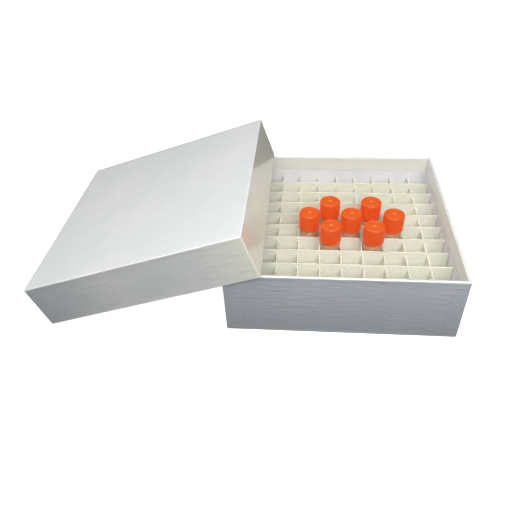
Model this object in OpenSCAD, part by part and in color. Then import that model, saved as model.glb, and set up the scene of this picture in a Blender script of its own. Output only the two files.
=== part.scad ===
// Cryogenic storage box: a paper-covered greyboard base with a lift-off lid, a slotted
// partition of ten by ten cells, and screw-cap vials standing in some of the cells.
// The origin is on the table under the middle of the base. +X is right, +Y is back.
// The lid is off and leans: its left edge stands on the table and its right edge lies
// on the base's rim.

/* [Base] */
// Outside width and depth of the base
base_w = 130; // [129.6:0.1:130]
// Outside height of the base
base_h = 41.4; // [36:0.1:44]
// Thickness of the base's greyboard
base_board_t = 1.25; // [1:0.05:1.3]
// Radius of the upright outside corners
corner_r = 0.9; // [0.6:0.1:1.2]

/* [Lid] */
// Outside width and depth of the lid
lid_w = 133; // [133:0.1:134]
// Outside height of the lid
lid_h = 28.5; // [22:0.1:34]
// Thickness of the lid's greyboard
lid_board_t = 0.75; // [0.6:0.05:0.75]
// Where the lid's low edge stands on the table, from the middle of the base
lid_foot_x = -170; // [-173:0.1:-168]
// How far the leaning lid is turned about the vertical, in degrees
lid_yaw = 0.2; // [-0.2:0.1:0.2]

/* [Papers] */
// Thickness of the glossy wrap paper
wrap_t = 0.2; // [0.1:0.05:0.2]
// Thickness of the lining paper
liner_t = 0.15; // [0.1:0.05:0.15]
// How far the wrap paper is turned in over an edge
turn_in = 9.8; // [6:0.2:12]
// Thickness of the stay tape on the upright corners
stay_t = 0.1; // [0.05:0.05:0.1]
// Reach of the stay tape on each side of a corner
stay_reach = 14; // [8:1:20]

/* [Partition] */
// Distance from one strip to the next
cell_pitch = 12.65; // [12.5:0.05:12.65]
// Thickness of a strip
strip_t = 0.7; // [0.5:0.1:0.8]
// Height of a strip
strip_h = 24.65; // [20:0.05:25]
// Length of a strip
strip_l = 126; // [124:0.5:126]
// Side play of a strip in a slot
slot_play = 0.3; // [0.2:0.05:0.4]
// How far the row dividers ride above the column dividers
strip_ride = 2.2; // [0:0.1:3]
// How far the row of slots is off the middle of a strip
slot_shift = 0.35; // [0:0.05:0.4]

/* [Vials] */
// Outside diameter of a tube
tube_d = 11.5; // [10.5:0.1:11.5]
// Height of a tube up to its shoulder
shoulder_h = 29.8; // [28:0.1:31]
// Outside diameter of the threaded neck
neck_d = 9.4; // [9.2:0.1:9.5]
// Wall of the tube and the neck
tube_wall = 0.9; // [0.7:0.1:1]
// Outside diameter of a cap
cap_d = 12.6; // [12.2:0.1:12.6]
// Height of a cap
cap_h = 11.3; // [10.5:0.1:11.5]
// Pitch of the screw thread
thread_pitch = 2.5; // [2.3:0.1:2.7]

/* [Hidden] */
STRIPS = 9;
VIALS = 7;

// Column and row of each vial's cell, counted from the front left cell as 0, 0.
VIAL_CELLS = [[4, 3], [6, 3], [3, 4], [5, 4], [7, 4], [4, 5], [6, 5]];

rest_gap = 0.05;          // between a piece and what it stands on, on different bodies
board_inset = 0.3;        // the bottom sheet stops this far short of the base's faces
flange_w = 12;            // wrap paper turned under the base
seam_w = 0.15;            // open seam between two walls of a folded board
stay_drop = 1.5;          // stay tape stops this far short of the open edge

base_wall = 2 * wrap_t + base_board_t + liner_t;
lid_wall = 2 * wrap_t + lid_board_t + liner_t;
base_sheet_z = wrap_t;                   // underside of the turned-under flange
base_board_z = base_sheet_z + wrap_t;    // underside of the board
floor_z = base_board_z + base_board_t + liner_t;

// The lid leans so that the inner corner of its right edge lies on the rim.
lid_tilt = asin((base_h + rest_gap) / (lid_w - lid_wall));
side_gap = 0.2;
lid_front_y = -base_w / 2 - side_gap - lid_wall / cos(lid_yaw)
    + (lid_foot_x + base_w / 2) * tan(lid_yaw);

slot_depth = (strip_h - strip_ride) / 2;
slot_lead = 0.5;
strip_corner = 0.4;
column_z = floor_z + rest_gap;
row_z = column_z + strip_ride;

vial_z = floor_z + rest_gap;
cap_z = shoulder_h + 0.2;                // all heights below are from the vial's foot
cap_roof = 1.2;
cap_bore_r = 5.3;
washer_t = 0.8;
neck_top = cap_z + cap_h - cap_roof - washer_t - 2 * rest_gap;
neck_r = neck_d / 2;
bore_r = neck_r - tube_wall;
tube_r = tube_d / 2;
ridge_h = 0.45;
ridge_root = 1.1;
ridge_crest = 0.5;
neck_ridge_turns = 2;
cap_ridge_turns = 1.25;
ridge_z = shoulder_h + 1.8;             // middle of both ridges where they start
cap_ridge_start = 180;                   // half a turn round, so it lies between the neck's turns
ridge_steps = 24;                        // facets in one turn of a thread ridge

$fn = 48;

// Rounded square centred on the origin, from plain squares and circles.
module rounded_square(w, r) {
    square([w - 2 * r, w], center = true);
    square([w, w - 2 * r], center = true);
    for (x = [-1, 1], y = [-1, 1])
        translate([x * (w / 2 - r), y * (w / 2 - r)])
            circle(r);
}

// Ring of a given wall inside a rounded square.
module square_ring(w, wall, r) {
    difference() {
        rounded_square(w, r);
        rounded_square(w - 2 * wall, max(r - wall, 0.2));
    }
}

// Open box of paper or board standing on its floor: w outside, h high.
module tray(w, h, wall, floor_t, r) {
    linear_extrude(floor_t)
        rounded_square(w, r);
    linear_extrude(h)
        square_ring(w, wall, r);
}

// Greyboard folded up from one cut sheet: its side walls butt against the other two.
module folded_board(w, h, t) {
    difference() {
        tray(w, h, t, t, corner_r - wrap_t);
        for (x = [-1, 1], y = [-1, 1])
            translate([x * (w / 2 - t / 2), y * (w / 2 - t - seam_w / 2), h / 2 + t])
                cube([t * 1.6, seam_w, h], center = true);
    }
}

// Stay tape round the four upright corners of a board.
module corner_stays(w, z_low, z_high) {
    translate([0, 0, z_low])
        linear_extrude(z_high - z_low)
            intersection() {
                square_ring(w + 2 * stay_t, stay_t, corner_r - wrap_t + stay_t);
                for (x = [-1, 1], y = [-1, 1])
                    translate([x * w / 2, y * w / 2])
                        square(2 * stay_reach, center = true);
            }
}

// Wrap paper of an open box: outside walls, over the edge, and the turned-in band.
module wrap_walls(w, h, z_low, wall) {
    translate([0, 0, z_low])
        linear_extrude(h - z_low)
            square_ring(w, wrap_t, corner_r);
    translate([0, 0, h - wrap_t])
        linear_extrude(wrap_t)
            square_ring(w, wall, corner_r);
    translate([0, 0, h - turn_in])
        linear_extrude(turn_in)
            square_ring(w - 2 * (wall - wrap_t), wrap_t, 0.4);
}

module base_bottom_sheet() {
    color("gainsboro")
        linear_extrude(wrap_t)
            rounded_square(base_w - 2 * board_inset, corner_r);
}

module base_board() {
    color("darkgray")
        translate([0, 0, base_board_z])
            folded_board(base_w - 2 * wrap_t, base_h - wrap_t - base_board_z, base_board_t);
}

module base_stay_shape() {
    corner_stays(base_w - 2 * wrap_t, base_board_z + stay_drop, base_h - wrap_t - stay_drop);
}

module base_corner_stays() {
    color("tan")
        base_stay_shape();
}

module base_liner() {
    inner_w = base_w - 2 * (wrap_t + base_board_t);
    color("lightgray")
        translate([0, 0, base_board_z + base_board_t])
            tray(inner_w, base_h - wrap_t - base_board_z - base_board_t, liner_t, liner_t, 0.4);
}

module base_wrap() {
    color("lightsteelblue")
        difference() {
            union() {
                wrap_walls(base_w, base_h, base_sheet_z, base_wall);
                translate([0, 0, base_sheet_z])
                    linear_extrude(wrap_t)
                        square_ring(base_w, flange_w, corner_r);
            }
            base_stay_shape();
        }
}

// Carries a shape from the lid's own frame, open side down, to where the lid leans.
module lean() {
    translate([lid_foot_x, lid_front_y, 0])
        rotate([0, 0, lid_yaw])
            rotate([0, -lid_tilt, 0])
                translate([lid_w / 2, lid_w / 2, lid_h])
                    mirror([0, 0, 1])
                        children();
}

module lid_board() {
    color("darkgray")
        lean()
            translate([0, 0, wrap_t])
                folded_board(lid_w - 2 * wrap_t, lid_h - 2 * wrap_t, lid_board_t);
}

module lid_stay_shape() {
    corner_stays(lid_w - 2 * wrap_t, wrap_t + stay_drop, lid_h - wrap_t - stay_drop);
}

module lid_corner_stays() {
    color("tan")
        lean()
            lid_stay_shape();
}

module lid_liner() {
    inner_w = lid_w - 2 * (wrap_t + lid_board_t);
    color("lightgray")
        lean()
            translate([0, 0, wrap_t + lid_board_t])
                tray(inner_w, lid_h - 2 * wrap_t - lid_board_t, liner_t, liner_t, 0.4);
}

module lid_wrap() {
    color("whitesmoke")
        lean()
            difference() {
                union() {
                    wrap_walls(lid_w, lid_h, 0, lid_wall);
                    linear_extrude(wrap_t)
                        rounded_square(lid_w, corner_r);
                }
                lid_stay_shape();
            }
}

// One slot, open at the top, with a flared mouth.
module slot_outline() {
    half = (strip_t + slot_play) / 2;
    polygon([
        [-half, strip_h - slot_depth],
        [half, strip_h - slot_depth],
        [half, strip_h - slot_lead],
        [half + slot_lead, strip_h + rest_gap],
        [-half - slot_lead, strip_h + rest_gap],
        [-half, strip_h - slot_lead]]);
}

// Face of a strip, slots upward. All strips are cut alike.
module strip_outline() {
    c = strip_corner;
    difference() {
        polygon([
            [-strip_l / 2, c],
            [c - strip_l / 2, 0],
            [strip_l / 2 - c, 0],
            [strip_l / 2, c],
            [strip_l / 2, strip_h - c],
            [strip_l / 2 - c, strip_h],
            [c - strip_l / 2, strip_h],
            [-strip_l / 2, strip_h - c]]);
        for (k = [1:STRIPS])
            translate([strip_place(k), 0])
                slot_outline();
    }
}

function strip_place(k) = slot_shift + (k - (STRIPS + 1) / 2) * cell_pitch;
function row_place(k) = strip_place(k) - 2 * slot_shift;

module strip() {
    rotate([90, 0, 0])
        translate([0, 0, -strip_t / 2])
            linear_extrude(strip_t)
                strip_outline();
}

// Strip running left to right, with its slots turned down over the column dividers.
module row_divider(k) {
    color("ivory")
        translate([0, row_place(k), row_z + strip_h])
            mirror([0, 0, 1])
                strip();
}

// Strip running front to back, with its slots up.
module column_divider(k) {
    color("cornsilk")
        translate([strip_place(k), 0, column_z])
            rotate([0, 0, -90])
                strip();
}

function vial_xy(k) = [
    strip_place(VIAL_CELLS[k - 1][0] + 0.5),
    row_place(VIAL_CELLS[k - 1][1] + 0.5)];

module at_vial(k) {
    translate([vial_xy(k)[0], vial_xy(k)[1], vial_z])
        children();
}

// Screw ridge: a trapezoid swept up a helix, with both ends run out to nothing.
module thread_ridge(root_r, crest_r, turns, z_low, start) {
    steps = round(turns * ridge_steps);
    run_out = ridge_steps / 6;
    points = [
        for (i = [0:steps])
            let (
                a = start + 360 * turns * i / steps,
                z = z_low + thread_pitch * turns * i / steps,
                rise = min(1, (i + 0.2) / run_out, (steps - i + 0.2) / run_out),
                r = root_r + (crest_r - root_r) * rise)
            each [
                [root_r * cos(a), root_r * sin(a), z - ridge_root / 2],
                [r * cos(a), r * sin(a), z - ridge_crest / 2],
                [r * cos(a), r * sin(a), z + ridge_crest / 2],
                [root_r * cos(a), root_r * sin(a), z + ridge_root / 2]]];
    outward = crest_r > root_r;
    sides = [
        for (i = [0:steps - 1], j = [0:3])
            let (
                p = 4 * i + j,
                q = 4 * i + (j + 1) % 4)
            outward ? [p, q, q + 4, p + 4] : [p, p + 4, q + 4, q]];
    last = 4 * steps;
    ends = outward
        ? [[3, 2, 1, 0], [last, last + 1, last + 2, last + 3]]
        : [[0, 1, 2, 3], [last + 3, last + 2, last + 1, last]];
    polyhedron(points, concat(sides, ends));
}

// Half section of the tube: skirted foot, cone bottom, shoulder and neck.
module tube_section() {
    foot_r = tube_r - tube_wall;
    inner_r = tube_r - tube_wall;
    cone_top = 7;
    cone_low = 3.1;
    under = 1.1;
    tip_r = 1.2;
    polygon([
        [0, cone_low - 1],
        [tip_r, cone_low - 1],
        [foot_r, cone_top - under - 0.6],
        [foot_r, 0.3],
        [foot_r + 0.3, 0],
        [tube_r - 0.4, 0],
        [tube_r, 0.5],
        [tube_r, shoulder_h - 0.5],
        [tube_r - 0.4, shoulder_h],
        [neck_r, shoulder_h],
        [neck_r, neck_top - 0.3],
        [neck_r - 0.25, neck_top],
        [bore_r + 0.25, neck_top],
        [bore_r, neck_top - 0.3],
        [bore_r, shoulder_h - 0.6],
        [inner_r, shoulder_h - 2.2],
        [inner_r, cone_top],
        [tip_r, cone_low],
        [0, cone_low]]);
}

module vial_tube(k) {
    color("lightcyan")
        at_vial(k) {
            rotate_extrude()
                tube_section();
            thread_ridge(neck_r - 0.1, neck_r + ridge_h, neck_ridge_turns, ridge_z, 0);
        }
}

// Half section of the cap: rounded shoulder, raised ring and a small nub in the middle.
module cap_section() {
    r = cap_d / 2;
    shoulder = 1.4;
    ring_r = r - shoulder;
    dish = 0.3;
    nub_r = 0.8;
    difference() {
        union() {
            square([ring_r, cap_h - dish]);
            polygon([
                [0, 0.4],
                [cap_bore_r, 0],
                [r - 0.35, 0],
                [r, 0.5],
                [r, cap_h - shoulder],
                [0, cap_h - shoulder]]);
            translate([ring_r, cap_h - shoulder])
                intersection() {
                    circle(shoulder);
                    translate([-dish, 0])
                        square(2 * shoulder);
                }
            translate([0, cap_h - dish])
                square([nub_r, dish - 0.05]);
        }
        translate([0, -1])
            square([cap_bore_r, cap_h - cap_roof + 1]);
        polygon([
            [0, -0.1],
            [cap_bore_r + 0.3, -0.1],
            [cap_bore_r, 0.4],
            [0, 0.4]]);
    }
}

module vial_cap(k) {
    color("orangered")
        at_vial(k) {
            translate([0, 0, cap_z])
                rotate_extrude()
                    cap_section();
            thread_ridge(cap_bore_r + 0.1, cap_bore_r - ridge_h, cap_ridge_turns, ridge_z, cap_ridge_start);
        }
}

module vial_washer(k) {
    outer_r = cap_bore_r - 0.15;
    color("snow")
        at_vial(k)
            translate([0, 0, neck_top + rest_gap])
                difference() {
                    cylinder(h = washer_t, r = outer_r);
                    translate([0, 0, -1])
                        cylinder(h = washer_t + 2, r = bore_r - 0.3);
                }
}

base_bottom_sheet();
base_board();
base_corner_stays();
base_liner();
base_wrap();
lid_board();
lid_corner_stays();
lid_liner();
lid_wrap();
for (k = [1:STRIPS]) {
    row_divider(k);
    column_divider(k);
}
for (k = [1:VIALS]) {
    vial_tube(k);
    vial_cap(k);
    vial_washer(k);
}
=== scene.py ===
import math
import random

import bmesh
import bpy
from mathutils import Matrix, Vector, noise


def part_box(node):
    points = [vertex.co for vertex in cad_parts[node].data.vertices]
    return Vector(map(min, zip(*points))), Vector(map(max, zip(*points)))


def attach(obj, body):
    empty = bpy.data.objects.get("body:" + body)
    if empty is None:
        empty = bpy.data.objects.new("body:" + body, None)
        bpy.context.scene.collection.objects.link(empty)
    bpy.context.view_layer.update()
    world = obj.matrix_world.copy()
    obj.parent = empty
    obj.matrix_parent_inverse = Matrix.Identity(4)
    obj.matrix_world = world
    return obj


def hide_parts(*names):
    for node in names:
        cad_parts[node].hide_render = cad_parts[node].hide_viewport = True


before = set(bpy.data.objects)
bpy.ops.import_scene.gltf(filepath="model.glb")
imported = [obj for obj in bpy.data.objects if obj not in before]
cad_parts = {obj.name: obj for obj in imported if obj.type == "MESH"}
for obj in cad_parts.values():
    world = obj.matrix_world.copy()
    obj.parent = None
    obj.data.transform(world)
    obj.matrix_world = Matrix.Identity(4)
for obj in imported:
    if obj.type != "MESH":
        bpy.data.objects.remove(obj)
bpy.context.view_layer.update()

# Looks of a cryogenic storage box: a base and a leaning lid covered in glossy wrap paper, a
# partition of slotted card strips, and screw-cap vials. Everything is in metres, in the
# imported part's own frame: +X right, +Y back, +Z up, origin on the table under the base.

STRIPS = 9
VIALS = 7
MM = 0.001

# Meshes
TIGHT = 0.02 * MM          # radius of the sharpest corners
MERGE = 1.5 * TIGHT        # points nearer to each other than this become one
SHARP = math.radians(40)   # an edge that bends more than this is shaded sharp
ARC_STEPS = 5              # in a fold of paper or an upright corner
BEND_STEPS = 3             # in a rounded corner of an outline
ROUND_STEPS = 72           # in a full turn

# Papers and board
WRAP = 0.2 * MM            # thickness of the wrap paper
LINER = 0.15 * MM          # thickness of the lining paper
LID_BOARD = 0.75 * MM      # thickness of the lid's greyboard
TURN_IN = 9.8 * MM         # wrap paper turned in over an open edge
FLANGE = 12 * MM           # wrap paper turned under the base
CORNER = 0.9 * MM          # radius of the upright corners
FOLD = 0.5 * MM            # radius of the wrap's folds over an edge
RIM_DIP = 0.03 * MM        # how far the paper sags between a rim's two folds
FLAP = 8 * MM              # the side sheet is glued this far round each corner
FLAP_STEP = 0.06 * MM      # the sheet beside the flap lies this much lower
STAY_REACH = 16 * MM       # the paper lies flat on the stay tape this far from a corner
WAVE = 0.07 * MM           # how far the glued paper sinks between its high places
WAVE_SIZE = 26 * MM
TORN = 0.35 * MM           # how far the turned-in edge strays from a straight line
TORN_SIZE = 4 * MM
PANEL_INSET = 3 * MM       # where the lid's flat top takes over from its folded edge
PANEL_FADE = 6 * MM        # the top's waves grow from nothing over this distance

# Where the wrap's points lie
NEAR_CORNER = (0, 0.4 * MM, MM, 2.5 * MM, 5 * MM)
NEAR_FLAP_EDGE = (-0.4 * MM, -0.1 * MM, 0.1 * MM, 0.4 * MM)
SIDE_STEPS = 14            # steps from there to the middle of a side
WALL_STEP = 3.5 * MM
BAND_STEP = 2.5 * MM
WALL_END = 0.7 * MM        # first and last points of a flat wall, from its ends

# Card strips
SLOT_PLAY = 0.3 * MM
SLOT_LEAD = 0.5 * MM       # flare of a slot's mouth
STRIP_CORNER = 0.15 * MM   # cut off a strip's four corners
BOW = 0.1 * MM             # how far a strip strays from its plane between two slots
LEAN = 0.06 * MM           # how far it strays over its whole length besides
LEAN_LENGTH = 30 * MM
LEAN_HEIGHT = 40 * MM
STRIP_STEP = 2.6 * MM
SOFT_EDGE = 0.09 * MM      # rounding of a strip's cut edges
CLOSE = 0.01 * MM          # places along a strip that differ by less are taken as one

# Vials
TUBE_WALL = 0.9 * MM
NECK_R = 4.7 * MM
SHOULDER = 29.8 * MM       # height of the tube's shoulder above its foot
CAP_BORE_R = 5.3 * MM
CAP_ROOF = 1.2 * MM
THREAD_PITCH = 2.5 * MM
RIDGE = 0.45 * MM          # height of a thread ridge
RIDGE_SINK = 0.1 * MM      # a ridge's root lies this far inside its wall
RIDGE_START = SHOULDER + 1.8 * MM
RIDGE_STEPS = 48           # in one turn of a thread ridge
NECK_RIDGE_TURNS = 2
CAP_RIDGE_TURNS = 1.25
GLINT_R = 0.8 * MM          # radius of the painted highlight on a cap's nub
GLOW = 5 * MM              # how far down a tube the painted glow of its cap reaches

# Stage and camera
# COVE is the floor's section as (radius, height): flat, then curving up into a wall.
COVE = [(0, 0), (0.5, 0), (1.6, 0), (2.1, 0.05), (2.4, 0.2), (2.6, 0.5), (2.7, 1), (2.7, 3)]
FLOOR_DROP = 0.1 * MM      # keeps the floor clear of the box's underside
LIT_PLACE = Vector((-0.03, 0, 0.03))     # where the lights aim
CAMERA_PLACE = Vector((-0.02133, -0.26920, 0.22541))
CAMERA_YAW = 6.29          # degrees to the left of straight back
CAMERA_PITCH = 40.00       # degrees down
CAMERA_ROLL = -2.52        # degrees about the line of sight
CAMERA_LENS = 36.17        # this and the sensor's width are in millimetres
SENSOR = 36
CLIP_START = 0.01

seeded = random.Random(20)


# Mesh helpers

def middle_of(node):
    """Middle of a CAD node's box."""
    low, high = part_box(node)
    return (low + high) / 2


def size_of(node):
    """Size of a CAD node's box."""
    low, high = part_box(node)
    return high - low


def joined(*parts):
    """Several (points, faces) pairs as one."""
    points = []
    faces = []
    for part_points, part_faces in parts:
        start = len(points)
        points += part_points
        faces += [[start + corner for corner in face] for face in part_faces]
    return points, faces


def soften(outline, bend, closed=False):
    """An outline with each corner rounded by a short curve, which starts bend before the corner,
    or less than halfway along a short line."""
    count = len(outline)
    soft = []
    for k, point in enumerate(outline):
        if not closed and k in (0, count - 1):
            soft.append(point)
            continue
        here = Vector(point)
        back = Vector(outline[k - 1]) - here
        ahead = Vector(outline[(k + 1) % count]) - here
        reach = min(bend, 0.45 * back.length, 0.45 * ahead.length)
        first = here + back.normalized() * reach
        last = here + ahead.normalized() * reach
        for step in range(BEND_STEPS + 1):
            t = step / BEND_STEPS
            soft.append(tuple(first * (1 - t) ** 2 + here * 2 * t * (1 - t) + last * t ** 2))
    return soft


def lathe(outline, closed=False):
    """Solid of revolution about Z, from an outline of (radius, height). The outline runs from axis
    to axis, unless it is closed."""
    points = []
    for radius, height in outline:
        for step in range(ROUND_STEPS):
            angle = 2 * math.pi * step / ROUND_STEPS
            points.append((radius * math.cos(angle), radius * math.sin(angle), height))
    faces = []
    spans = len(outline) if closed else len(outline) - 1
    for row in range(spans):
        low = row * ROUND_STEPS
        high = (row + 1) % len(outline) * ROUND_STEPS
        for step in range(ROUND_STEPS):
            after = (step + 1) % ROUND_STEPS
            faces.append([low + step, low + after, high + after, high + step])
    return points, faces


def thread_ridge(root, crest, turns, start):
    """Screw ridge swept up a helix, with both ends run out to nothing."""
    root_half = 0.55 * MM
    crest_half = 0.2 * MM
    run_out = 9
    blunt = 0.2
    steps = round(turns * RIDGE_STEPS)
    section = [(0, -root_half), (0.75, -crest_half * 1.6), (1, -crest_half),
               (1, crest_half), (0.75, crest_half * 1.6), (0, root_half)]
    points = []
    faces = []
    for step in range(steps + 1):
        angle = start + 2 * math.pi * turns * step / steps
        height = RIDGE_START + THREAD_PITCH * turns * step / steps
        rise = min(1, (step + blunt) / run_out, (steps - step + blunt) / run_out)
        for share, offset in section:
            radius = root + (crest - root) * share * rise
            points.append((radius * math.cos(angle), radius * math.sin(angle), height + offset))
    around = len(section)
    for step in range(steps):
        for k in range(around):
            here = step * around + k
            after = step * around + (k + 1) % around
            faces.append([here, after, after + around, here + around])
    faces.append(list(range(around)))
    faces.append([steps * around + k for k in range(around)])
    return points, faces


def mesh_object(name, shape, material, marks):
    """A mesh object in the scene, with smooth shading and its coinciding points merged.
    marks holds values from 0 to 1 for its points, by name, that the material reads."""
    points, faces = shape
    mesh = bpy.data.meshes.new(name)
    mesh.from_pydata(points, [], faces)
    for mark, values in marks.items():
        mesh.attributes.new(mark, "FLOAT", "POINT").data.foreach_set("value", values)
    work = bmesh.new()
    work.from_mesh(mesh)
    bmesh.ops.remove_doubles(work, verts=work.verts, dist=MERGE)
    bmesh.ops.recalc_face_normals(work, faces=work.faces)
    work.to_mesh(mesh)
    work.free()
    mesh.shade_smooth()
    mesh.set_sharp_from_angle(angle=SHARP)
    mesh.materials.append(material)
    item = bpy.data.objects.new(name, mesh)
    bpy.context.scene.collection.objects.link(item)
    return item


def add_piece(name, shape, material, body, node, place=None, marks=None):
    """A finished mesh object that rides on a body and stands for a CAD node."""
    item = mesh_object(name, shape, material, marks or {})
    if place is not None:
        item.matrix_world = place
    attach(item, body)
    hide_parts(node)
    return item


# Materials

SOFT = (0.35, 0.65)        # range of a noise that a soft blend runs over
BROAD = (0.3, 0.7)
MIX_FIRST = 6              # the Mix node's colour sockets, which share their names with others
MIX_SECOND = 7
MIX_RESULT = 2


class Recipe:
    """One procedural material, with short calls for the nodes that the materials share."""

    def __init__(self, name, **sockets):
        self.material = bpy.data.materials.new(name)
        self.material.use_nodes = True
        self.nodes = self.material.node_tree.nodes
        self.links = self.material.node_tree.links
        self.shader = self.nodes["Principled BSDF"]
        for socket, value in sockets.items():
            self.shader.inputs[socket.replace("_", " ")].default_value = value
        self.space = self.nodes.new("ShaderNodeTexCoord").outputs["Object"]

    def texture(self, kind, size, stretch=(1, 1, 1)):
        """Texture whose features are about size metres wide, drawn out by stretch."""
        mapping = self.nodes.new("ShaderNodeMapping")
        mapping.inputs["Scale"].default_value = [1 / s for s in stretch]
        texture = self.nodes.new(kind)
        texture.inputs["Scale"].default_value = 1 / size
        self.links.new(self.space, mapping.inputs["Vector"])
        self.links.new(mapping.outputs["Vector"], texture.inputs["Vector"])
        return texture

    def noise(self, size, detail, stretch=(1, 1, 1), roughness=0.55):
        """Cloudy noise."""
        texture = self.texture("ShaderNodeTexNoise", size, stretch)
        texture.inputs["Detail"].default_value = detail
        texture.inputs["Roughness"].default_value = roughness
        return texture.outputs["Fac"]

    def specks(self, size):
        """Distance to the nearest of many scattered points, from 0 at a point."""
        return self.texture("ShaderNodeTexVoronoi", size).outputs["Distance"]

    def along(self, axis):
        """Place along one of the object's own axes, in metres."""
        split = self.nodes.new("ShaderNodeSeparateXYZ")
        self.links.new(self.space, split.inputs["Vector"])
        return split.outputs[axis]

    def mark(self, name):
        """Values painted on the mesh's points."""
        attribute = self.nodes.new("ShaderNodeAttribute")
        attribute.attribute_name = name
        return attribute.outputs["Fac"]

    def span(self, value, low, high, to_low=0.0, to_high=1.0):
        """Carries the range low to high over to another, and holds it there."""
        node = self.nodes.new("ShaderNodeMapRange")
        limits = {"From Min": low, "From Max": high, "To Min": to_low, "To Max": to_high}
        for socket, number in limits.items():
            node.inputs[socket].default_value = number
        self.links.new(value, node.inputs["Value"])
        return node.outputs["Result"]

    def times(self, first, second):
        """Product of two nodes' outputs."""
        node = self.nodes.new("ShaderNodeMath")
        node.operation = "MULTIPLY"
        self.links.new(first, node.inputs[0])
        self.links.new(second, node.inputs[1])
        return node.outputs["Value"]

    def blend(self, factor, first, second):
        """Mixes two colours, each a colour or another node's output."""
        node = self.nodes.new("ShaderNodeMix")
        node.data_type = "RGBA"
        self.links.new(factor, node.inputs["Factor"])
        for number, colour in ((MIX_FIRST, first), (MIX_SECOND, second)):
            if isinstance(colour, tuple):
                node.inputs[number].default_value = (*colour, 1)
            else:
                self.links.new(colour, node.inputs[number])
        return node.outputs[MIX_RESULT]

    def colour(self, output):
        self.links.new(output, self.shader.inputs["Base Color"])

    def roughness(self, value, low, high):
        self.links.new(self.span(value, *BROAD, low, high), self.shader.inputs["Roughness"])

    def relief(self, *layers):
        """Bump from (height, depth in metres) layers, one over another."""
        below = None
        for height, depth in layers:
            node = self.nodes.new("ShaderNodeBump")
            node.inputs["Distance"].default_value = depth
            self.links.new(height, node.inputs["Height"])
            if below is not None:
                self.links.new(below, node.inputs["Normal"])
            below = node.outputs["Normal"]
        self.links.new(below, self.shader.inputs["Normal"])


def wrap_paper(name, sheet, cloud, crease_shade, fold, crease_depth, gloss, painted_light_ramps):
    """Glossy coated paper: cloudy tint, fine mottle, level creases with painted shade, and white
    folds (partly painted highlight) and inside.
    painted_light_ramps lists (axis, start, stop, colour): painted shade or light; the sides turn
    to that colour from start to stop."""
    recipe = Recipe(name, Coat_Weight=gloss, Coat_Roughness=0.3 - 0.2 * gloss, Coat_IOR=1.65)
    clouds = recipe.noise(38 * MM, detail=2)
    mottle = recipe.noise(1.6 * MM, detail=4)
    creases = recipe.noise(1.5 * MM, detail=3, stretch=(6, 6, 1))
    grain = recipe.noise(0.35 * MM, detail=2)
    sides = recipe.mark("side")
    tint = recipe.blend(recipe.span(clouds, *SOFT), sheet, cloud)
    tint = recipe.blend(recipe.span(mottle, 0.42, 0.72, 0, 0.35), tint, cloud)
    crease_strength = recipe.span(sides, 0, 1, 0.25, 0.6)
    # painted shade: the tint darkens toward crease_shade along the creases that the bump raises
    tint = recipe.blend(recipe.times(recipe.span(creases, *BROAD), crease_strength), tint, crease_shade)
    # painted shade and painted light: the sides' tint turns to a colour along one axis
    for axis, start, stop, painted_colour in painted_light_ramps:
        reach = recipe.times(sides, recipe.span(recipe.along(axis), start, stop))
        tint = recipe.blend(reach, tint, painted_colour)
    # wear at worn corners, and painted highlight along the folds and rim: a blend toward the fold
    # colour
    wear_and_highlight = recipe.times(recipe.mark("fold"), recipe.span(mottle, 0.3, 0.55, 0.88, 1))
    recipe.colour(recipe.blend(wear_and_highlight, tint, fold))
    recipe.roughness(mottle, 0.34, 0.5)
    recipe.relief((grain, 0.01 * MM), (mottle, 0.05 * MM), (creases, crease_depth))
    return recipe.material


def plain_paper(name, sheet, fibre, speck):
    """Matte uncoated paper: soft tint, short fibres and a few specks."""
    recipe = Recipe(name, Specular_IOR_Level=0.3)
    clouds = recipe.noise(14 * MM, detail=3)
    fibres = recipe.noise(0.8 * MM, detail=4, stretch=(3, 1, 1), roughness=0.7)
    specks = recipe.specks(2.4 * MM)
    tint = recipe.blend(recipe.span(clouds, *SOFT), sheet, fibre)
    tint = recipe.blend(recipe.span(fibres, 0.5, 0.75, 0, 0.5), tint, fibre)
    recipe.colour(recipe.blend(recipe.span(specks, 0, 0.09, 0.5, 0), tint, speck))
    recipe.roughness(fibres, 0.75, 0.92)
    recipe.relief((fibres, 0.03 * MM))
    return recipe.material


def strip_card(name):
    """Uncoated cream card: upright fibres, faint blotches, and cut edges with painted shade that
    tones down their lit tops.
    """
    sheet = (0.87, 0.86, 0.75)
    deep = (0.83, 0.82, 0.70)
    fibre = (0.90, 0.89, 0.79)
    painted_edge_shade = (0.67, 0.66, 0.55)
    recipe = Recipe(name, Specular_IOR_Level=0.3, Subsurface_Weight=0.3,
                    Subsurface_Scale=1.5 * MM, Subsurface_Radius=(1.0, 0.9, 0.6))
    blotches = recipe.noise(7 * MM, detail=3)
    fibres = recipe.noise(0.5 * MM, detail=4, stretch=(1, 1, 5), roughness=0.7)
    tint = recipe.blend(recipe.span(blotches, 0.35, 0.7, 0, 0.8), sheet, deep)
    tint = recipe.blend(recipe.span(fibres, 0.5, 0.78, 0, 0.45), tint, fibre)
    # painted shade on the cut edges, so that their tops look less lit
    edge = recipe.times(recipe.mark("edge"), recipe.span(fibres, 0.25, 0.6, 0.5, 1))
    recipe.colour(recipe.blend(edge, tint, painted_edge_shade))
    recipe.roughness(fibres, 0.7, 0.9)
    recipe.relief((fibres, 0.035 * MM), (blotches, 0.12 * MM))
    return recipe.material


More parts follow.
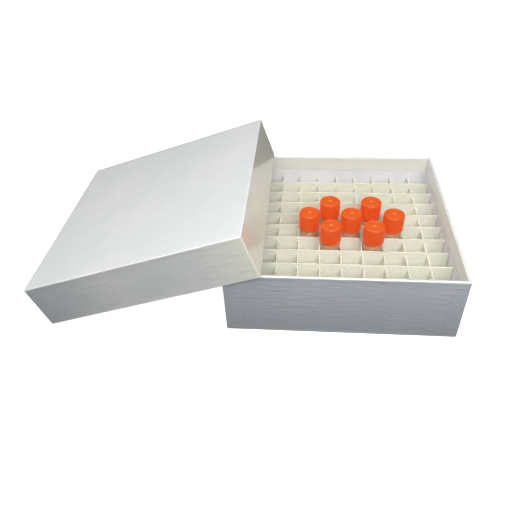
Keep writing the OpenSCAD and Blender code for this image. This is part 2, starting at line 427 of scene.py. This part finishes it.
def cap_plastic(name):
    """Orange moulded plastic: satin skin, fine grain, a painted highlight on its nub.
    Its weak emission is painted glow, which keeps its red as bright at the sides as on top."""
    skin = (0.24, 0.094, 0.012)
    deep = (0.22, 0.085, 0.010)
    painted_glint = (0.42, 0.26, 0.08)
    # painted glow: a red emission makes the cap glow though it is no lamp
    recipe = Recipe(name, Subsurface_Weight=0.15, Subsurface_Scale=0.8 * MM,
                    Subsurface_Radius=(1.0, 0.35, 0.15), Coat_Weight=0.05, Coat_Roughness=0.25,
                    Specular_IOR_Level=0.35, IOR=1.4,
                    Emission_Color=(1.0, 0.03, 0.01, 1), Emission_Strength=0.55)
    clouds = recipe.noise(3 * MM, detail=2)
    grain = recipe.noise(0.16 * MM, detail=3)
    tint = recipe.blend(recipe.span(clouds, *SOFT), skin, deep)
    # painted highlight: the nub's points turn paler
    recipe.colour(recipe.blend(recipe.mark("nub_glint"), tint, painted_glint))
    recipe.roughness(grain, 0.32, 0.46)
    recipe.relief((grain, 0.008 * MM), (clouds, 0.03 * MM))
    return recipe.material


def tube_plastic(name):
    """Clear moulded plastic: faint haze, flow lines round it, and the cap's orange as a painted
    reflection in its shoulder.
    """
    clear = (0.98, 0.95, 0.90)
    flow_line = (0.95, 0.92, 0.87)
    painted_cap_glow = (0.97, 0.58, 0.30)
    recipe = Recipe(name, Transmission_Weight=0.62, IOR=1.4)
    flow = recipe.noise(2.5 * MM, detail=2, stretch=(3, 3, 1))
    grain = recipe.noise(0.3 * MM, detail=2)
    tint = recipe.blend(recipe.span(flow, *BROAD), clear, flow_line)
    recipe.colour(recipe.blend(recipe.mark("glow"), tint, painted_cap_glow))
    recipe.roughness(grain, 0.06, 0.14)
    recipe.relief((flow, 0.03 * MM))
    return recipe.material


def silicone(name):
    """Soft translucent white rubber with a dusty bloom."""
    rubber = (0.82, 0.82, 0.79)
    dust = (0.9, 0.9, 0.88)
    recipe = Recipe(name, Subsurface_Weight=0.3, Subsurface_Scale=1 * MM, IOR=1.41)
    bloom = recipe.noise(0.9 * MM, detail=4)
    recipe.colour(recipe.blend(recipe.span(bloom, 0.35, 0.7), rubber, dust))
    recipe.roughness(bloom, 0.45, 0.65)
    recipe.relief((bloom, 0.015 * MM))
    return recipe.material


def pale_floor(name):
    """Plain pale surface that the box stands on."""
    pale = (0.9, 0.9, 0.9)
    cloud = (0.885, 0.885, 0.885)
    recipe = Recipe(name, Roughness=0.9, Specular_IOR_Level=0.1, Emission_Color=(1, 1, 1, 1),
                    Emission_Strength=0.85)
    recipe.colour(recipe.blend(recipe.noise(0.3, detail=2), pale, cloud))
    return recipe.material


BASE_PAINTED_SHADE = [("Z", 34 * MM, 0, (0.44, 0.475, 0.51))]            # painted shade: darker toward its foot
LID_PAINTED_LIGHT = [("X", -15 * MM, -66 * MM, (0.55, 0.59, 0.60)),      # painted shade: darker toward its low edge
              ("X", 35 * MM, 66 * MM, (0.92, 0.93, 0.81))]        # and painted bounce light from the cream card: creamy at its high one
MATERIALS = {
    # partly painted shade: the base's sheet is a darker, bluer copy of the lid's white paper, for
    # the shade on its sides
    "base_wrap": wrap_paper(
        "base_wrap_paper", sheet=(0.62, 0.66, 0.70), cloud=(0.56, 0.60, 0.645),
        crease_shade=(0.485, 0.53, 0.575), fold=(0.86, 0.86, 0.81), crease_depth=0.3 * MM, gloss=1,
        painted_light_ramps=BASE_PAINTED_SHADE),
    "lid_wrap": wrap_paper(
        "lid_wrap_paper", sheet=(0.82, 0.83, 0.82), cloud=(0.77, 0.79, 0.795),
        crease_shade=(0.70, 0.71, 0.72), fold=(0.90, 0.90, 0.88), crease_depth=0.25 * MM, gloss=0.9,
        painted_light_ramps=LID_PAINTED_LIGHT),
    "liner": plain_paper(
        "lining_paper", sheet=(0.88, 0.87, 0.90), fibre=(0.84, 0.83, 0.87),
        speck=(0.72, 0.71, 0.72)),
    "bottom": plain_paper(
        "bottom_paper", sheet=(0.74, 0.75, 0.76), fibre=(0.68, 0.69, 0.70), speck=(0.6, 0.6, 0.6)),
    "board": plain_paper(
        "greyboard", sheet=(0.34, 0.32, 0.29), fibre=(0.42, 0.40, 0.36), speck=(0.16, 0.14, 0.12)),
    "tape": plain_paper(
        "stay_tape", sheet=(0.42, 0.30, 0.18), fibre=(0.50, 0.37, 0.24), speck=(0.28, 0.18, 0.1)),
    "card": strip_card("divider_card"),
    "cap": cap_plastic("orange_cap"),
    "tube": tube_plastic("clear_tube"),
    "washer": silicone("silicone"),
    "floor": pale_floor("floor"),
}


# Wrap paper of the base and the lid

FRONT_AND_BACK = (0, 2)    # numbers of these sides, counted from the front by way of the right
# Shares of the fold colour by kind of place; on the rim and folds it is partly painted highlight
WHITENESS = {"band": 1.0, "torn edge": 1.0, "rim": 0.7, "fold": 0.35}
WORN_CORNER = 0.2


def side_stations(length):
    """Shares of a side's length where its points lie, closer near the corners and the flaps."""
    near = list(NEAR_CORNER) + [FLAP + offset for offset in NEAR_FLAP_EDGE]
    rest = length / 2 - near[-1]
    spread = [near[-1] + rest * k / SIDE_STEPS for k in range(1, SIDE_STEPS)]
    low = [place / length for place in near + spread]
    return low + [0.5] + [1 - share for share in reversed(low)]


def ring(half, bend, stations):
    """Points of a rounded square from its front left corner, each with its side and its share of
    that side's length, or None in a corner."""
    found = []
    for side in range(4):
        turn = Matrix.Rotation(side * math.pi / 2, 2)
        straight = 2 * (half - bend)
        for share in stations:
            found.append((turn @ Vector((share * straight - half + bend, -half)), side, share))
        for step in range(1, ARC_STEPS):
            angle = step / ARC_STEPS * math.pi / 2
            across = half - bend + bend * math.sin(angle)
            out = half - bend + bend * math.cos(angle)
            found.append((turn @ Vector((across, -out)), side, None))
    return found


def arc(inset, height, bend, start, stop, kind):
    """Fold seen end on: (inset, height, kind) points that lie bend away from the centre given.
    Angles are in degrees: 0 is straight outward and 90 is upward."""
    found = []
    for step in range(ARC_STEPS + 1):
        angle = math.radians(start + (stop - start) * step / ARC_STEPS)
        found.append((inset - bend * math.cos(angle), height + bend * math.sin(angle), kind))
    return found


def wall_rows(inset, start, stop, kind, step):
    """Points down or up a flat wall, with one close to each end."""
    near = math.copysign(WALL_END, stop - start)
    count = max(2, round(abs(stop - start) / step))
    rows = [(inset, start + near, kind)]
    rows += [(inset, start + (stop - start) * k / count, kind) for k in range(1, count)]
    return rows + [(inset, stop - near, kind)]


def sink(point, share_of_wave=1.0):
    """How far the glued paper lies below its highest places here."""
    broad = noise.noise(point / WAVE_SIZE) * 0.5
    small = noise.noise(point / (WAVE_SIZE / 4)) * 0.2
    return WAVE * share_of_wave * min(1, max(0, 0.5 + broad + small))


def whiteness(kind, share):
    """How white: most over the rim and inside, a little at folds and worn corners; rim and folds
    partly painted highlight.
    """
    if kind == "wall" and share is None:
        return WORN_CORNER
    return WHITENESS.get(kind, 0.0)


def swept_paper(width, outline, shift):
    """Carries an outline of (inset, height, kind) round a rounded square as a sheet.
    shift moves the noise, so that no two sheets wave alike. Gives points, faces and marks."""
    stations = side_stations(width)
    points = []
    marks = {"fold": [], "side": []}
    for inset, height, kind in outline:
        half = width / 2 - inset
        for flat, side, share in ring(half, max(CORNER - inset, TIGHT), stations):
            here = Vector((flat.x, flat.y, height))
            if kind == "wall" and share is not None:
                inward = Matrix.Rotation(side * math.pi / 2, 2) @ Vector((0, 1))
                from_corner = min(share, 1 - share) * width
                depth = sink(here + shift) * min(1, max(0, from_corner / STAY_REACH - 1))
                if side in FRONT_AND_BACK and from_corner > FLAP:
                    depth += FLAP_STEP
                here += (inward * depth).to_3d()
            if kind == "torn edge":
                here.z += TORN * noise.noise((here + shift) / TORN_SIZE)
            points.append(here)
            marks["fold"].append(whiteness(kind, share))
            marks["side"].append(1.0 if kind == "wall" else 0.0)
    around = len(points) // len(outline)
    faces = []
    for row in range(len(outline) - 1):
        for k in range(around):
            after = (k + 1) % around
            low = row * around
            faces.append([low + k, low + after, low + after + around, low + k + around])
    return points, faces, marks


def flat_panel(width, inset, height, shift, share_of_wave):
    """Square sheet whose edge meets the swept paper's points at that inset."""
    half = width / 2 - inset
    places = [share * 2 * half - half for share in side_stations(width)]
    last = len(places) - 1
    points = []
    for j, y in enumerate(places):
        for i, x in enumerate(places):
            here = Vector((x, y, height))
            if i not in (0, last) and j not in (0, last):
                fade = min(1, (half - max(abs(x), abs(y))) / PANEL_FADE)
                here.z -= sink(here + shift, share_of_wave) * fade
            points.append(here)
    faces = []
    for j in range(last):
        for i in range(last):
            here = j * (last + 1) + i
            faces.append([here, here + 1, here + last + 2, here + last + 1])
    return points, faces


def over_the_rim(wall, top, turn_end):
    """The wrap's way from the outside over an open edge and down inside, ending at turn_end."""
    outline = arc(FOLD, top - FOLD, FOLD, 0, 90, "rim")
    outline.append((wall / 2, top - RIM_DIP, "rim"))
    outline += arc(wall - FOLD, top - FOLD, FOLD, 90, 180, "rim")
    outline += wall_rows(wall, top - FOLD, turn_end, "band", BAND_STEP)
    outline.append((wall, turn_end, "torn edge"))
    outline.append((wall - WRAP, turn_end, "torn edge"))
    outline.append((wall - WRAP, top - WRAP, "hidden"))
    outline.append((WRAP, top - WRAP, "hidden"))
    return outline


def base_wrap():
    """Wrap paper of the base: its turned-under flange, the wall, the rim and the band inside."""
    low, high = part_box("base_wrap")
    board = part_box("base_liner")[0].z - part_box("base_board")[0].z
    wall = 2 * WRAP + board + LINER
    outline = [(FLANGE, low.z, "flange")]
    outline += arc(FOLD, low.z + FOLD, FOLD, -90, 0, "fold")
    outline += wall_rows(0, low.z + FOLD, high.z - FOLD, "wall", WALL_STEP)
    outline += over_the_rim(wall, high.z, high.z - TURN_IN)
    outline.append((WRAP, low.z + WRAP, "hidden"))
    outline.append((FLANGE, low.z + WRAP, "hidden"))
    outline.append(outline[0])
    points, faces, marks = swept_paper(high.x - low.x, outline, Vector((0, 0, 0)))
    add_piece("base_wrap_paper", (points, faces), MATERIALS["base_wrap"], "base",
              "base_wrap", marks=marks)


def lid_place():
    """The leaning lid's own frame, its width and its height. The frame has X to the lid's high
    edge, Z out of its top, and its origin amid the open side. The way up comes from the wrap's
    top, which is its largest face that looks upward."""
    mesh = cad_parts["lid_wrap"].data
    faces = sorted(mesh.polygons, key=lambda face: face.area)
    up = next(face.normal.copy() for face in reversed(faces) if face.normal.z > 0)
    yaw = math.atan2(-up.y, -up.x)
    back = Vector((-math.sin(yaw), math.cos(yaw), 0))
    axes = [back.cross(up), back, up]
    low = [min(axis.dot(vertex.co) for vertex in mesh.vertices) for axis in axes]
    high = [max(axis.dot(vertex.co) for vertex in mesh.vertices) for axis in axes]
    origin = axes[0] * (low[0] + high[0]) / 2 + axes[1] * (low[1] + high[1]) / 2 + axes[2] * low[2]
    turn = Matrix(axes).transposed().to_4x4()
    return Matrix.Translation(origin) @ turn, high[0] - low[0], high[2] - low[2]


def lid_wrap():
    """Wrap paper of the lid: its top, skirt, and the band turned in over the open edge."""
    place, width, height = lid_place()
    wall = 2 * WRAP + LID_BOARD + LINER
    shift = Vector((0.3, 0.1, 0.2))
    # The sheet is made with the lid's top down at height 0, and turned over at the end.
    outline = [(PANEL_INSET, 0, "top")]
    outline += [(FOLD + 0.8 * MM, 0, "top")]
    outline += arc(FOLD, FOLD, FOLD, -90, 0, "fold")
    outline += wall_rows(0, FOLD, height - FOLD, "wall", WALL_STEP)
    outline += over_the_rim(wall, height, height - TURN_IN)
    outline.append((WRAP, WRAP, "hidden"))
    outline.append((PANEL_INSET, WRAP, "hidden"))
    points, faces, marks = swept_paper(width, outline, shift)
    outside = flat_panel(width, PANEL_INSET, 0, shift, -1.0)
    inside = flat_panel(width, PANEL_INSET, WRAP, shift, 0.0)
    for values in marks.values():
        values += [0.0] * (len(outside[0]) + len(inside[0]))
    points, faces = joined((points, faces), outside, inside)
    points = [Vector((point.x, point.y, height - point.z)) for point in points]
    add_piece("lid_wrap_paper", (points, faces), MATERIALS["lid_wrap"], "lid",
              "lid_wrap", place=place, marks=marks)


# Card strips of the partition

def strip_columns(length, slots, slot_width):
    """Places along a strip where its points lie: its ends, its slots' sides, and steps between."""
    stops = [-length / 2, SLOT_LEAD - length / 2]
    for slot in slots:
        stops += [slot - slot_width / 2, slot + slot_width / 2]
    stops += [length / 2 - SLOT_LEAD, length / 2]
    columns = []
    for start, stop in zip(stops, stops[1:]):
        gaps = max(1, round((stop - start) / STRIP_STEP))
        columns += [start + (stop - start) * k / gaps for k in range(gaps)]
    return columns + [length / 2]


def strip_shape(length, height, thickness, slots, slot_depth):
    """Card strip standing on X with its slots open at the top: points, faces and edge marks."""
    slot_width = thickness + SLOT_PLAY
    columns = strip_columns(length, slots, slot_width)
    slot_floor = height - slot_depth
    rows = [0, SLOT_LEAD, slot_floor / 2, slot_floor - SLOT_LEAD, slot_floor,
            slot_floor + slot_depth / 2, height - SLOT_LEAD, height]
    phase = seeded.uniform(0, 90)      # so that no two strips lean alike
    bows = [seeded.uniform(-BOW, BOW) for _ in range(len(slots) + 1)]

    def slot_at(x):
        return next((slot for slot in slots if abs(x - slot) < slot_width / 2 + CLOSE), None)

    def stray(x, z):
        """How far the strip lies off its own plane: a bow between two crossings, and a lean."""
        gap = sum(1 for slot in slots if slot < x)
        start = slots[gap - 1] if gap else -length / 2
        stop = slots[gap] if gap < len(slots) else length / 2
        lean = noise.noise(Vector((x / LEAN_LENGTH, phase, z / LEAN_HEIGHT))) * LEAN
        return bows[gap] * math.sin(math.pi * (x - start) / (stop - start)) ** 2 + lean

    flat = []
    marks = []
    for z in rows:
        level = z in (0, height)
        for x in columns:
            slot = slot_at(x)
            end = abs(x) > length / 2 - CLOSE
            across, up = x, z
            if z == height and slot is not None:
                across += math.copysign(SLOT_LEAD, x - slot)
            if end and level:
                across -= math.copysign(STRIP_CORNER, x)
                up += STRIP_CORNER if z == 0 else -STRIP_CORNER
            flat.append((across, up, stray(x, z)))
            marks.append(1.0 if level or end else 0.0)
    wide = len(columns)
    cells = []
    for row in range(len(rows) - 1):
        for k in range(wide - 1):
            slot = slot_at(columns[k])
            in_slot = slot is not None and slot == slot_at(columns[k + 1])
            if not (in_slot and rows[row] >= slot_floor):
                here = row * wide + k
                cells.append([here, here + 1, here + 1 + wide, here + wide])
    return solid_sheet(flat, cells, thickness) + (marks * 2,)


def solid_sheet(flat, cells, thickness):
    """Makes a flat sheet solid: two faces a thickness apart, closed by its cut edge all round.
    flat lists (x, z, y) points and cells the squares between them."""
    count = len(flat)
    points = [(x, y - thickness / 2, z) for x, z, y in flat]
    points += [(x, y + thickness / 2, z) for x, z, y in flat]
    cut = {}
    for cell in cells:
        for a, b in zip(cell, cell[1:] + cell[:1]):
            line = frozenset((a, b))
            # A line that a second cell shares lies inside the sheet.
            cut[line] = None if line in cut else (a, b)
    faces = list(cells)
    faces += [[corner + count for corner in reversed(cell)] for cell in cells]
    faces += [[b, a, a + count, b + count] for a, b in filter(None, cut.values())]
    return points, faces


def partition():
    """Nine strips each way: the row strips have their slots down over the column strips."""
    rows = [f"row_divider_{k + 1}" for k in range(STRIPS)]
    columns = [f"column_divider_{k + 1}" for k in range(STRIPS)]
    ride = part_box(rows[0])[0].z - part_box(columns[0])[0].z
    for node in rows + columns:
        along_x = node in rows
        length, thickness, height = size_of(node)
        if not along_x:
            length, thickness = thickness, length
        axis = 0 if along_x else 1
        centre = middle_of(node)
        crossing = columns if along_x else rows
        slots = [middle_of(other)[axis] - centre[axis] for other in crossing]
        points, faces, marks = strip_shape(length, height, thickness, slots, (height - ride) / 2)
        turned_over = Matrix.Rotation(math.pi, 4, "X")
        turned_back = Matrix.Rotation(math.pi / 2, 4, "Z")
        foot = Vector((0, 0, height / 2 if along_x else -height / 2))
        place = Matrix.Translation(centre + foot) @ (turned_over if along_x else turned_back)
        points = [place @ Vector(point) for point in points]
        strip = add_piece(node.replace("divider", "strip"), (points, faces), MATERIALS["card"],
                          "divider", node, marks={"edge": marks})
        soft_edge = strip.modifiers.new("soft_edge", "BEVEL")
        soft_edge.width = SOFT_EDGE
        soft_edge.segments = 2
        soft_edge.angle_limit = math.radians(50)


# Vials

def tube_outline(height):
    """Half section of a tube on its skirted foot: from the middle of the cone's underside down
    inside the foot, up the outside, over the lip, and down inside to the cone's tip."""
    outer = size_of("vial_1_tube").x / 2
    inner = outer - TUBE_WALL
    bore = NECK_R - TUBE_WALL
    cone_top = 7 * MM
    cone_low = 3.1 * MM
    cone_floor = cone_low - MM
    tip = 1.2 * MM
    chamfer = 0.4 * MM
    lip = 0.3 * MM
    under = [(0, cone_floor), (tip, cone_floor), (inner, cone_top - 1.7 * MM), (inner, 0.3 * MM)]
    outside = [(inner + 0.3 * MM, 0), (outer - chamfer, 0), (outer, 0.5 * MM),
               (outer, SHOULDER - 0.5 * MM), (outer - chamfer, SHOULDER), (NECK_R, SHOULDER)]
    neck = [(NECK_R, height - lip), (NECK_R - 0.25 * MM, height), (bore + 0.25 * MM, height),
            (bore, height - lip)]
    inside = [(bore, SHOULDER - 0.6 * MM), (inner, SHOULDER - 2.2 * MM), (inner, cone_top),
              (tip, cone_low), (0, cone_low)]
    return soften(under + outside + neck + inside, 0.45 * MM)


def cap_outline(low, high):
    """Half section of a cap, from the middle of its roof inside, out, up and over to the middle
    on top: a rounded shoulder, a raised ring, a shallow dish and a small nub."""
    outer = size_of("vial_1_cap").x / 2
    shoulder = 1.4 * MM
    shoulder_steps = 8
    crest = outer - shoulder
    roof = high - CAP_ROOF
    dish = high - 0.3 * MM
    bore = [(0, roof), (CAP_BORE_R, roof), (CAP_BORE_R, low + 0.4 * MM)]
    skirt = [(CAP_BORE_R + 0.3 * MM, low), (outer - 0.35 * MM, low), (outer, low + 0.5 * MM),
             (outer, high - shoulder)]
    outline = soften(bore + skirt, 0.25 * MM)
    for step in range(1, shoulder_steps + 1):
        angle = math.pi / 2 * step / shoulder_steps
        rise = shoulder * math.sin(angle)
        outline.append((crest + shoulder * math.cos(angle), high - shoulder + rise))
    ring_and_dish = [(crest, high), (crest - 0.35 * MM, high), (crest - 0.65 * MM, dish)]
    nub = [(0.9 * MM, dish), (0.65 * MM, high - 0.08 * MM), (0, high - 0.05 * MM)]
    return outline + soften(ring_and_dish + nub, 0.2 * MM)[1:]


def heights(node, foot):
    """Lowest and highest of a vial's part, from the vial's foot."""
    low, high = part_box(node)
    return low.z - foot.z, high.z - foot.z


def vial_tube(k, node, foot):
    """Clear tube with a threaded neck, marked where the cap's orange is painted on its shoulder as
    a painted reflection.
    """
    shape = joined(
        lathe(tube_outline(heights(node, foot)[1])),
        thread_ridge(NECK_R - RIDGE_SINK, NECK_R + RIDGE, NECK_RIDGE_TURNS, 0))
    # painted reflection: the cap's orange painted down the tube's shoulder
    glow = [min(1, max(0, 1 - (SHOULDER - point[2]) / GLOW)) for point in shape[0]]
    add_piece(node + "_clear", shape, MATERIALS["tube"], f"vial_{k}", node,
              place=Matrix.Translation(foot), marks={"glow": glow})


def vial_cap(k, node, foot):
    """Orange cap with a thread inside, and a painted highlight on its nub."""
    low, high = heights(node, foot)
    shape = joined(
        lathe(cap_outline(low, high)),
        thread_ridge(CAP_BORE_R + RIDGE_SINK, CAP_BORE_R - RIDGE, CAP_RIDGE_TURNS, math.pi))
    nub_glint = [1.0 if math.hypot(x, y) < GLINT_R and z > high - MM else 0.0 for x, y, z in shape[0]]
    add_piece(node + "_orange", shape, MATERIALS["cap"], f"cap_{k}", node,
              place=Matrix.Translation(foot), marks={"nub_glint": nub_glint})


def vial_washer(k, node, foot):
    """Soft washer in the cap, wide enough to cover the tube's lip."""
    low, high = heights(node, foot)
    rim = size_of(node).x / 2
    hole = NECK_R - TUBE_WALL - 0.3 * MM
    section = soften([(hole, low), (rim, low), (rim, high), (hole, high)], 0.2 * MM, closed=True)
    add_piece(node + "_soft", lathe(section, closed=True), MATERIALS["washer"], f"seal_{k}",
              node, place=Matrix.Translation(foot))


def vial(k):
    """One vial. Its pieces are made about its own axis, from its foot up."""
    tube = f"vial_{k}_tube"
    foot = middle_of(tube)
    foot.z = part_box(tube)[0].z
    vial_tube(k, tube, foot)
    vial_cap(k, f"vial_{k}_cap", foot)
    vial_washer(k, f"vial_{k}_washer", foot)


def dress_hidden_nodes():
    """Materials of the CAD nodes that stay: boards, stays, liners and the sheet under the base."""
    looks = {
        "bottom": ["base_bottom_sheet"],
        "board": ["base_board", "lid_board"],
        "tape": ["base_corner_stays", "lid_corner_stays"],
        "liner": ["base_liner", "lid_liner"],
    }
    for look, nodes in looks.items():
        for node in nodes:
            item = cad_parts[node]
            item.data.materials.clear()
            item.data.materials.append(MATERIALS[look])


# Stage, light and camera

def floor():
    """Pale floor that curves up into a wall all round, as in a photo studio."""
    item = mesh_object("floor", lathe(COVE), MATERIALS["floor"], {})
    item.location.z = -FLOOR_DROP
    # Its bounce would light the box's sides as brightly as its top.
    item.visible_diffuse = False
    item.visible_glossy = False
    item.visible_shadow = False


def softbox(name, place, size, watts, mirrored=True):
    """Square area light that faces the box. One that is not mirrored leaves no glare on gloss."""
    light = bpy.data.lights.new(name, "AREA")
    light.size = size
    light.energy = watts
    item = bpy.data.objects.new(name, light)
    item.location = place
    item.rotation_euler = (LIT_PLACE - Vector(place)).to_track_quat("-Z", "Y").to_euler()
    item.visible_glossy = mirrored
    bpy.context.scene.collection.objects.link(item)


def lights():
    """Three soft lights above, three low ones for the pale floor's bounce, a faint surround."""
    softbox("overhead", (-0.5, 0, 1.2), size=0.8, watts=9.4)
    softbox("front", (0, -0.6, 1.1), size=0.9, watts=5.0)
    softbox("by_camera", (0.09, -0.32, 0.36), size=0.3, watts=1.6)
    softbox("bounce_back", (0.1, 1.1, -0.35), size=0.5, watts=7, mirrored=False)
    softbox("bounce_right", (0.9, 0.2, -0.65), size=0.5, watts=4.5, mirrored=False)
    softbox("bounce_left", (-1.2, 0.3, -0.35), size=0.5, watts=7, mirrored=False)
    world = bpy.data.worlds.new("studio")
    world.use_nodes = True
    surround = world.node_tree.nodes["Background"]
    surround.inputs["Color"].default_value = (1, 1, 1, 1)
    surround.inputs["Strength"].default_value = 0.04
    bpy.context.scene.world = world


def camera():
    """Camera at the photo's place, angles and focal length."""
    data = bpy.data.cameras.new("camera")
    data.sensor_width = SENSOR
    data.lens = CAMERA_LENS
    data.clip_start = CLIP_START
    item = bpy.data.objects.new("camera", data)
    turn = (Matrix.Rotation(math.radians(CAMERA_YAW), 4, "Z")
            @ Matrix.Rotation(math.radians(90 - CAMERA_PITCH), 4, "X")
            @ Matrix.Rotation(math.radians(CAMERA_ROLL), 4, "Z"))
    item.matrix_world = Matrix.Translation(CAMERA_PLACE) @ turn
    bpy.context.scene.collection.objects.link(item)
    bpy.context.scene.camera = item


bpy.context.scene.view_settings.view_transform = "Standard"
camera()
floor()
lights()
base_wrap()
lid_wrap()
partition()
for number in range(1, VIALS + 1):
    vial(number)
dress_hidden_nodes()
